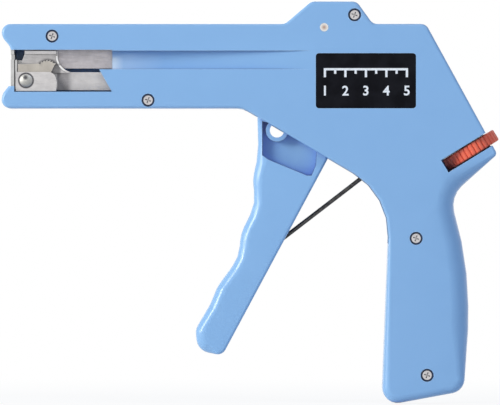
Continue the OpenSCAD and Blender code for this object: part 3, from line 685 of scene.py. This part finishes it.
# %% Gripper strip
FOLD_FROM, FOLD_TO = 16.2 * MM, 20.7 * MM
FOLD_TOP = -5.6 * MM
FOLD_SLANT = (-0.816, 0, -0.577)
FOLD_LINE = -10.0 * MM
FOLD_SHADE = (0.33, 0.32, 0.33)
STRIP_SHADE = (0.10, 0.10, 0.11)
TEETH_X, TEETH_Z = 12.9 * MM, -5.0 * MM
TEETH_SHADE_R = 4.5 * MM
TEETH_SHADE_FROM_Y = -8.2 * MM
LIP_NEAR_Y, LIP_FAR_Y = -5.3 * MM, -3.8 * MM
LIP_FROM = 15.6 * MM
LIP_LOW = -4.7 * MM
LIP_HIGHLIGHT = (0.98, 0.98, 0.98)
SHADOW_LINE_Z = -2.6 * MM
SHADOW_LINE_HALF_W = 0.35 * MM

strip = steel("steel_folded_strip", (0.60, 0.585, 0.59), roughness=0.36, stretch=(40, 1, 1))
# The bend: painted shade, darker where it dives under the wall.
fold = strip.between(ALONG, FOLD_FROM, FOLD_TO, soft=0.1 * MM, soft_end=0.8 * MM)
fold = strip.times(fold, strip.beyond(DOWN, -FOLD_TOP, soft=0.2 * MM))
under = strip.times(fold, strip.beyond(FOLD_SLANT, FOLD_LINE, soft=1.1 * MM))
strip.lay(fold, FOLD_SHADE)
strip.lay(under, STRIP_SHADE, share=0.85)
# Painted shade round the teeth.
teeth_shade = strip.times(strip.near_axis(TEETH_X, TEETH_Z, TEETH_SHADE_R, soft=0.4 * MM),
                   strip.beyond(ACROSS, TEETH_SHADE_FROM_Y, soft=0.1 * MM))
strip.lay(teeth_shade, STRIP_SHADE, share=0.7)
# A painted highlight on the raised lip.
lip = strip.times(strip.between(ACROSS, LIP_NEAR_Y, LIP_FAR_Y, soft=0.1 * MM),
                  strip.beyond(ALONG, LIP_FROM, soft=0.1 * MM))
lip = strip.times(lip, strip.beyond(UP, LIP_LOW, soft=0.3 * MM))
strip.lay(lip, LIP_HIGHLIGHT, share=0.85)
# A painted shadow line along the pawl's top.
line = strip.between(UP, SHADOW_LINE_Z - SHADOW_LINE_HALF_W, SHADOW_LINE_Z + SHADOW_LINE_HALF_W, soft=0.1 * MM)
strip.lay(line, STRIP_SHADE, share=0.55)
# A painted shadow ring round the rivet.
rivet_ring_shadow(strip)
dress(strip, "pull_bar")
print("strip is dull from", FOLD_FROM / MM, "to", FOLD_TO / MM, "mm")

# %% [markdown]
# ## Screws
#
# The frame's screws have plain straight heads. Real pan heads are rolled: the head's rim
# leans in, so a dark ring shows round it in its recess. New heads could be spun, but the
# cross recesses are already cut in the frame's screws. So a merged copy of them gets its
# rims drawn in, and takes their place.

# %% Screws with rolled heads
HEAD_RIM_FROM = 1.6 * MM
HEAD_TOP_DEPTH = 0.1 * MM
HEAD_TOP_R = 1.62 * MM
HEAD_FOOT_R = 1.75 * MM


def merged_copy(name):
    """A bmesh of a part of the frame, with its loose triangles joined."""
    bm = bmesh.new()
    bm.from_mesh(nodes[name].data)
    bmesh.ops.remove_doubles(bm, verts=bm.verts, dist=MERGE_AT)
    return bm


def islands(bm):
    """Lists of the vertices that hang together, one list for each separate solid."""
    left = set(bm.verts)
    found = []
    while left:
        group, waiting = set(), {left.pop()}
        while waiting:
            vert = waiting.pop()
            group.add(vert)
            near = {edge.other_vert(vert) for edge in vert.link_edges}
            waiting |= near & left
            left -= near
        found.append(list(group))
    return found


def roll_head(screw):
    """Draws the rim of a screw's head in towards its axis, further at the top."""
    x = (min(v.co.x for v in screw) + max(v.co.x for v in screw)) / 2
    z = (min(v.co.z for v in screw) + max(v.co.z for v in screw)) / 2
    top = min(v.co.y for v in screw)
    for vert in screw:
        out = math.hypot(vert.co.x - x, vert.co.z - z)
        if out > HEAD_RIM_FROM:
            at_top = vert.co.y < top + HEAD_TOP_DEPTH
            share = (HEAD_TOP_R if at_top else HEAD_FOOT_R) / out
            vert.co.x = x + share * (vert.co.x - x)
            vert.co.z = z + share * (vert.co.z - z)


screw_steel = steel("steel_screw", (0.62, 0.60, 0.61), roughness=0.36, stretch=(3, 1, 3),
                    line=0.25, depth=0.02)
bm = merged_copy("shell_screws")
screws = islands(bm)
for screw in screws:
    roll_head(screw)
rolled_screws = piece_from("rolled_screws", bm, screw_steel.material)
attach(rolled_screws, "housing")
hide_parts("shell_screws")
smooth_part(rolled_screws)
print(len(screws), "screw heads are", round(2 * HEAD_TOP_R / MM, 2), "mm across")

# %% [markdown]
# ## The lip round the knob
#
# The thumb wheel turns in a slot through both halves of the body. Nobody can look right through:
# inside the far half a thin moulded lip comes up close to the wheel, so the gaps beside it fall
# into shade instead of showing the white ground. It is a flat U that lies across the wheel's
# axis, so it is drawn in the wheel's own directions: along its radius and along its axis.

# %% Where the wheel is
WHEEL_R = 10.4 * MM
WHEEL_T = 4.3 * MM
wheel_joint = next(j for j in frame["joints"] if j["name"] == "knob_turn")
wheel_at = Vector(wheel_joint["pos_m"])
wheel_axis = Vector(wheel_joint["axis"]).normalized()
wheel_side = Vector((wheel_axis.z, 0, -wheel_axis.x))
print("wheel leans", round(math.degrees(math.atan2(wheel_side.z, wheel_side.x)), 1), "degrees")

# %% Slot lip
SLOT_PLAY = 0.4 * MM
SLOT_LIP_PLAY = 0.04 * MM
SLOT_LIP_OUT = 6.8 * MM
SLOT_LIP_BACK_W = 1.6 * MM
SLOT_LIP_FROM_Y, SLOT_LIP_TO_Y = 6.4 * MM, 7.2 * MM
SLOT_LIP_SUNK = 0.1 * MM

near_wheel = WHEEL_T / 2 + SLOT_LIP_PLAY
in_wall = WHEEL_T / 2 + SLOT_PLAY + SLOT_LIP_SUNK
back = -WHEEL_R - 2 * SLOT_PLAY - SLOT_LIP_SUNK
hollow_back = back + SLOT_LIP_BACK_W
lip_outline = (
    (back, -in_wall), (SLOT_LIP_OUT, -in_wall),
    (SLOT_LIP_OUT, -near_wheel), (hollow_back, -near_wheel),
    (hollow_back, near_wheel), (SLOT_LIP_OUT, near_wheel),
    (SLOT_LIP_OUT, in_wall), (back, in_wall),
)
near_face = wheel_at + Vector((0, SLOT_LIP_FROM_Y, 0))
bm = bmesh.new()
corners = [bm.verts.new(near_face + u * wheel_side + w * wheel_axis) for u, w in lip_outline]
face = bm.faces.new(corners)
pulled = bmesh.ops.extrude_face_region(bm, geom=[face])["geom"]
moved = [v for v in pulled if isinstance(v, bmesh.types.BMVert)]
bmesh.ops.translate(bm, verts=moved, vec=(0, SLOT_LIP_TO_Y - SLOT_LIP_FROM_Y, 0))
bmesh.ops.recalc_face_normals(bm, faces=bm.faces)
slot_lip = piece_from("slot_lip", bm, shell_blue.material)
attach(slot_lip, "housing")
print("lip stands", SLOT_LIP_PLAY / MM, "mm off the wheel")

# %% [markdown]
# ## Spring wire and brass
#
# The springs are oil-blackened wire with a dull shine and fine lines from drawing. The
# square nut is brass. Both are one metal shader each: a slow cloud of two near tones
# keeps them from looking like paint.

# %% Wire and brass
WIRE_DARK, WIRE_PALE = (0.035, 0.035, 0.038), (0.10, 0.095, 0.09)
BRASS_DARK, BRASS_PALE = (0.52, 0.38, 0.15), (0.66, 0.49, 0.22)

wire = Finish("spring_wire_black", metallic=0.85, roughness=0.42)
wire.colour(wire.noise(size=1.2 * MM, detail=3.0), WIRE_DARK, WIRE_PALE)
wire.rough(wire.spread(wire.noise(size=0.5 * MM), low=0.34, high=0.5))
wire.bump(wire.noise(size=0.15 * MM, stretch=(8, 1, 8)), depth=0.006 * MM)
dress(wire, "return_coil", "return_arm", "tension_spring", "pawl_spring")

brass = Finish("brass_nut", metallic=1.0, roughness=0.32)
brass.colour(brass.noise(size=2 * MM, detail=3.0), BRASS_DARK, BRASS_PALE)
brass.bump(brass.noise(size=0.2 * MM), depth=0.006 * MM)
dress(brass, "adjusting_nut")
print("wire on four parts, brass on the nut")

# %% [markdown]
# ## Orange plastic
#
# The thumb wheel is moulded in an orange red. The crests of its ribs get a painted highlight,
# partly wear from thumbs, and the grooves between them get painted shade.

# %% Orange plastic
ORANGE = (0.98, 0.17, 0.085)
ORANGE_DEEP = (0.90, 0.135, 0.065)
ORANGE_PALE = (0.98, 0.36, 0.24)
ORANGE_SHADE = (0.46, 0.022, 0.014)

orange = WearAndPaintedLightFinish("orange_plastic", roughness=0.38, IOR=1.47)
orange.colour(orange.noise(size=4 * MM, detail=3.0), ORANGE_DEEP, ORANGE)
# Painted highlight on the rib crests, partly wear.
orange.lay(orange.worn_and_highlit_edges(radius=0.12 * MM), ORANGE_PALE)
# Painted shade down in the grooves.
grooves = orange.crevices(reach=0.5 * MM, most=0.75, closed=0.25, wide=0.8)
orange.lay(grooves, ORANGE_SHADE)
orange.rough(orange.spread(orange.noise(size=3 * MM), low=0.32, high=0.44))
orange.bump(orange.noise(size=0.3 * MM), depth=0.01 * MM)
dress(orange, "tension_knob")
print("orange on the thumb wheel")

# %% [markdown]
# ## The thumb wheel
#
# The real wheel is moulded with soft ribs: each is a low round hump, the grooves between
# them are narrow, and both rims are rounded for the thumb. An array of ribs could be
# joined to a disc, but one outline is simpler: it is half of the wheel's section, with the
# rounded rims, spun round the axis in small steps. Then every point that lies in a groove
# is drawn in towards the axis.

# %% The wheel's section
RIM_ROUND = 0.6 * MM
RIM_RINGS = 4
WHEEL_BORE = 2.4 * MM


def rim_levels():
    """Pairs of height and drop in radius, from one face of the wheel to the other."""
    levels = []
    for i in range(RIM_RINGS + 1):
        turn = math.radians(90 * i / RIM_RINGS)
        height = -WHEEL_T / 2 + RIM_ROUND * (1 - math.sin(turn))
        levels.append((height, RIM_ROUND * (1 - math.cos(turn))))
    levels.reverse()
    return levels + [(-height, drop) for height, drop in reversed(levels)]


def wheel_point(height, radius):
    """A point beside the wheel's middle: its height along the axis, and its radius."""
    return wheel_at + height * wheel_axis + radius * wheel_side


section = [wheel_point(height, WHEEL_R - drop) for height, drop in rim_levels()]
section += [wheel_point(height, WHEEL_BORE) for height in (WHEEL_T / 2, -WHEEL_T / 2)]
print("section has", len(section), "points")

# %% Wheel with soft ribs
RIBS = 36
STEPS = 8
RIB_DEPTH = 0.5 * MM
HUB_WALL = 1 * MM

bm = bmesh.new()
ring = [bm.verts.new(point) for point in section]
edges = [bm.edges.new((a, b)) for a, b in zip(ring, ring[1:] + ring[:1])]
bmesh.ops.spin(bm, geom=ring + edges, cent=wheel_at, axis=wheel_axis, angle=2 * math.pi,
               steps=RIBS * STEPS, use_merge=True)
bmesh.ops.remove_doubles(bm, verts=bm.verts, dist=MERGE_AT)
for vert in bm.verts:
    out = vert.co - wheel_at
    out -= out.dot(wheel_axis) * wheel_axis
    if out.length > WHEEL_BORE + HUB_WALL:
        turn = math.atan2(out.y, out.dot(wheel_side))
        groove = (1 - abs(math.cos(RIBS * turn / 2))) ** 2
        vert.co -= RIB_DEPTH * groove * out.normalized()
bmesh.ops.recalc_face_normals(bm, faces=bm.faces)
ribbed_wheel = piece_from("ribbed_wheel", bm, orange.material)
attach(ribbed_wheel, "knob")
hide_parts("tension_knob")
smooth_part(ribbed_wheel)
print("wheel has", RIBS, "ribs and", len(ribbed_wheel.data.polygons), "faces")

# %% [markdown]
# ## The coil spring
#
# The coil spring under the plunger is squeezed from both ends: the plunger presses on its top
# when the tool lets go, and the nut lifts its foot when the knob is turned. A stiff solid can't
# do that, so the coil is made again in two halves that meet in the middle. Each is a small circle
# of wire, spun round the axis and lifted at every step, with a flat last turn for the seat.

# %% Coil in two halves
COIL_R = 3.8 * MM
COIL_WIRE_R = 0.62 * MM
COIL_SIDES = 12
COIL_STEPS = 24
RISING_TURNS = 2.7
SEAT_TURNS = 0.85
heights = [(v.co - wheel_at).dot(wheel_axis) for v in nodes["tension_spring"].data.vertices]
coil_middle = (min(heights) + max(heights)) / 2
half_length = (max(heights) - min(heights)) / 2


def half_coil(name, way):
    """Half of the coil spring: way is 1 upwards and -1 downwards from its middle."""
    place = Matrix((wheel_side, wheel_axis, wheel_side.cross(wheel_axis))).transposed().to_4x4()
    place.translation = wheel_point(coil_middle, COIL_R)
    bm = bmesh.new()
    bmesh.ops.create_circle(bm, radius=COIL_WIRE_R, segments=COIL_SIDES, matrix=place)
    last = bm.verts[:] + bm.edges[:]
    for turns, rise in ((RISING_TURNS, half_length - COIL_WIRE_R), (SEAT_TURNS, 0.0)):
        steps = round(turns * COIL_STEPS)
        last = bmesh.ops.spin(bm, geom=last, cent=wheel_at, axis=wheel_axis,
                              dvec=way * rise / steps * wheel_axis,
                              angle=way * 2 * math.pi * turns, steps=steps)["geom_last"]
    bmesh.ops.holes_fill(bm, edges=bm.edges)
    bmesh.ops.recalc_face_normals(bm, faces=bm.faces)
    half = piece_from(name, bm, wire.material)
    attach(half, "housing")
    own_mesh(half)
    smooth_part(half)
    return half


upper_coil = half_coil("upper_coil", 1)
lower_coil = half_coil("lower_coil", -1)
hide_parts("tension_spring")
print("coil halves are", round(half_length / MM, 1), "mm long")

# %% [markdown]
# ## The leaf spring
#
# A bent leaf under the pawl's tail presses its teeth up, and gives way as the pawl turns.
# The frame's solid already has the right shape, so a merged copy of it takes its place and rides
# with the pull bar.

leaf_spring = piece_from("leaf_spring", merged_copy("pawl_spring"), wire.material)
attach(leaf_spring, "pull_bar")
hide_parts("pawl_spring")
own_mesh(leaf_spring)
smooth_part(leaf_spring)

# %% [markdown]
# ## The label
#
# A thin black plate with a glossy face lies in a recess on the side. It carries a plain
# scale of ticks and numbers, printed in white. The scale could be a colour pattern on the
# plate, but its pieces are few and stay sharp when they are made as thin shapes.

# %% Label finish
PLATE_DARK, PLATE_PALE = (0.004, 0.004, 0.006), (0.009, 0.009, 0.012)
PRINT_DARK, PRINT_PALE = (0.78, 0.78, 0.78), (0.9, 0.9, 0.9)

label_black = Finish("label_black", roughness=0.22, Specular_IOR_Level=0.06)
label_black.colour(label_black.noise(size=5 * MM), PLATE_DARK, PLATE_PALE)
label_black.bump(label_black.noise(size=1.5 * MM, detail=1.0), depth=0.004 * MM)
dress(label_black, "label_plate")

label_white = Finish("label_white", roughness=0.4)
label_white.colour(label_white.noise(size=0.6 * MM), PRINT_DARK, PRINT_PALE)
print("label plate in black")

# %% [markdown]
# The print is a hair thick, so that it lies on the plate without flicker. The ticks are
# boxes in one mesh: long ones above the numbers, short ones between, and a bar on top.
# All places are shares of the plate's own box, so the scale follows the plate's size.

# %% Where the scale is
FIGURES = ("1", "2", "3", "4", "5")
MARGIN_SHARE = 0.09
SCALE_W_SHARE = 0.82
TOP_GAP_SHARE = 0.27
label_low, label_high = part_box("label_plate")
label_w = label_high.x - label_low.x
label_h = label_high.z - label_low.z
print_y = label_low.y
first_x = label_low.x + MARGIN_SHARE * label_w
pitch = SCALE_W_SHARE * label_w / (len(FIGURES) - 1)
last_x = first_x + (len(FIGURES) - 1) * pitch
tick_top = label_high.z - TOP_GAP_SHARE * label_h
print("scale is", round((last_x - first_x) / MM, 1), "mm long")

# %% Ticks
PRINT_T = 0.03 * MM
TICK_W = 0.8 * MM
TICK_LONG = 3.2 * MM
TICK_SHORT = 2.0 * MM


def printed(name, bm):
    """Makes a piece of the white print, which rides with the plate on the body."""
    piece = piece_from(name, bm, label_white.material)
    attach(piece, "housing")


def add_bar(bm, left, right, low, high):
    """Adds a flat printed bar between two places along the plate and two heights."""
    made = bmesh.ops.create_cube(bm, size=1.0)["verts"]
    bmesh.ops.scale(bm, verts=made, vec=(right - left, 2 * PRINT_T, high - low))
    middle = ((left + right) / 2, print_y, (low + high) / 2)
    bmesh.ops.translate(bm, verts=made, vec=middle)


bm = bmesh.new()
for i in range(2 * len(FIGURES) - 1):
    x = first_x + i * pitch / 2
    length = TICK_SHORT if i % 2 else TICK_LONG
    add_bar(bm, x - TICK_W / 2, x + TICK_W / 2, tick_top - length, tick_top - TICK_W)
add_bar(bm, first_x - TICK_W / 2, last_x + TICK_W / 2, tick_top - TICK_W, tick_top)
printed("label_ticks", bm)
print("ticks are", TICK_LONG / MM, "and", TICK_SHORT / MM, "mm long")

# %% [markdown]
# Numbers could be drawn as outlines, but the built-in font has them. Each is a text
# object that is made into a mesh, brought to its size, stood up and put in its place.

# %% Numbers
FIGURE_H = 3.5 * MM
FIGURES_Z_SHARE = 0.32
FIGURE_BOLD = 0.022
FIGURE_ROUNDNESS = 3


def figure(text, middle, height):
    """A printed figure as a bmesh, centred on a point of the label."""
    curve = bpy.data.curves.new("figure", "FONT")
    curve.body = text
    curve.size = 1.0
    curve.align_x = "CENTER"
    curve.extrude = 1.0
    curve.offset = FIGURE_BOLD
    curve.resolution_u = FIGURE_ROUNDNESS
    holder = bpy.data.objects.new("figure", curve)
    bpy.context.scene.collection.objects.link(holder)
    bpy.context.view_layer.update()
    mesh = bpy.data.meshes.new_from_object(holder)
    bpy.data.objects.remove(holder)
    bm = bmesh.new()
    bm.from_mesh(mesh)
    bpy.data.meshes.remove(mesh)
    low = min(v.co.y for v in bm.verts)
    tall = max(v.co.y for v in bm.verts) - low
    scale = height / tall
    bmesh.ops.translate(bm, verts=bm.verts, vec=(0, -low - tall / 2, 0))
    bmesh.ops.scale(bm, verts=bm.verts, vec=(scale, scale, PRINT_T))
    bmesh.ops.rotate(bm, verts=bm.verts, matrix=Matrix.Rotation(math.radians(90), 3, "X"))
    bmesh.ops.translate(bm, verts=bm.verts, vec=middle)
    return bm


figures_z = label_low.z + FIGURES_Z_SHARE * label_h
for i, text in enumerate(FIGURES):
    middle = (first_x + i * pitch, print_y, figures_z)
    printed("label_figure_" + text, figure(text, middle, FIGURE_H))
print("label carries", len(FIGURES), "figures")

# %% [markdown]
# ## Sizes
#
# The dressed tool should stay inside the frame's own box, and how much its box grew against the
# frame's is printed.

# %% Print how much the tool grew
new_low, new_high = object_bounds()
grown = (new_high - new_low) - (cad_high - cad_low)
print("grown by mm:", [round(v / MM, 2) for v in grown])
